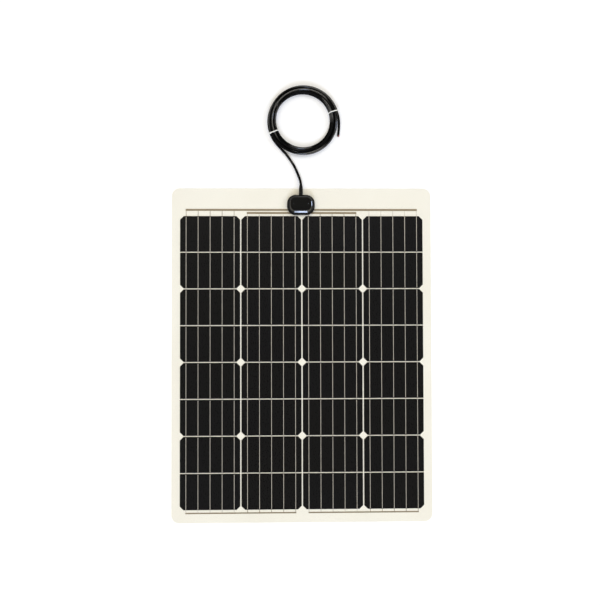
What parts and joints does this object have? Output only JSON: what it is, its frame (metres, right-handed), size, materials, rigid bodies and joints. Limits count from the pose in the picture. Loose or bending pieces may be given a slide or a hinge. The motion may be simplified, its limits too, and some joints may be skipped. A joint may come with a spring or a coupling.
{
  "type": "solar panel",
  "caption": "Frameless semi-flexible solar panel: dark cut cells in rows on a white sheet, a black junction box near one edge and a black lead laid in a tied coil.",
  "frame": {"origin": "middle of the panel's back face, with the cable and its sleeve left out", "axes": "+X across the panel, +Y along it to the edge with the junction box, +Z out of the face with the cells"},
  "size_m": [0.68, 1.1425, 0.0205],
  "materials": {
    "white_laminate": "satin cream white sheet",
    "clear_encapsulant": "clear soft film",
    "front_film": "clear satin embossed film",
    "mono_silicon": "dark coated silicon wafer with soldered ribbons",
    "tinned_copper": "dull tinned copper",
    "black_housing": "satin moulded plastic",
    "black_rubber": "matte soft rubber",
    "grey_silicone": "cured sealant",
    "cable_sheath": "satin cable sheath",
    "white_nylon": "natural nylon",
    "red_insulation": "satin insulation",
    "black_insulation": "satin insulation"
  },
  "bodies": {
    "panel": {"back_sheet": "white_laminate", "rear_encapsulant": "clear_encapsulant", "front_encapsulant": "clear_encapsulant", "front_sheet": "front_film", "cell_row1_column1": "mono_silicon", "cell_row1_column2": "mono_silicon", "cell_row1_column3": "mono_silicon", "cell_row1_column4": "mono_silicon", "cell_row2_column1": "mono_silicon", "cell_row2_column2": "mono_silicon", "cell_row2_column3": "mono_silicon", "cell_row2_column4": "mono_silicon", "cell_row3_column1": "mono_silicon", "cell_row3_column2": "mono_silicon", "cell_row3_column3": "mono_silicon", "cell_row3_column4": "mono_silicon", "cell_row4_column1": "mono_silicon", "cell_row4_column2": "mono_silicon", "cell_row4_column3": "mono_silicon", "cell_row4_column4": "mono_silicon", "cell_row5_column1": "mono_silicon", "cell_row5_column2": "mono_silicon", "cell_row5_column3": "mono_silicon", "cell_row5_column4": "mono_silicon", "cell_row6_column1": "mono_silicon", "cell_row6_column2": "mono_silicon", "cell_row6_column3": "mono_silicon", "cell_row6_column4": "mono_silicon", "cell_row7_column1": "mono_silicon", "cell_row7_column2": "mono_silicon", "cell_row7_column3": "mono_silicon", "cell_row7_column4": "mono_silicon", "cell_row8_column1": "mono_silicon", "cell_row8_column2": "mono_silicon", "cell_row8_column3": "mono_silicon", "cell_row8_column4": "mono_silicon", "bus_ribbon_outer_left": "tinned_copper", "bus_ribbon_inner_left": "tinned_copper", "bus_ribbon_inner_right": "tinned_copper", "bus_ribbon_outer_right": "tinned_copper", "bus_ribbon_bottom_left": "tinned_copper", "bus_ribbon_bottom_right": "tinned_copper", "junction_box_pad": "grey_silicone", "junction_box_base": "black_housing", "lid_seal": "grey_silicone", "terminal_left": "tinned_copper", "terminal_middle": "tinned_copper", "terminal_right": "tinned_copper", "bypass_diode_left": "black_housing", "bypass_diode_right": "black_housing", "core_left": "red_insulation", "core_right": "black_insulation", "strain_relief": "black_rubber", "cable_lead": "cable_sheath", "cable_coil": "cable_sheath", "cable_tie_left": "white_nylon", "cable_tie_right": "white_nylon", "core_end_red": "red_insulation", "core_end_black": "black_insulation"},
    "lid": {"junction_box_lid": "black_housing"}
  },
  "joints": [
    {"name": "lid_lift", "type": "slide", "parent": "panel", "child": "lid", "axis": [0, 0, 1], "range_m": [0, 0.03]}
  ]
}
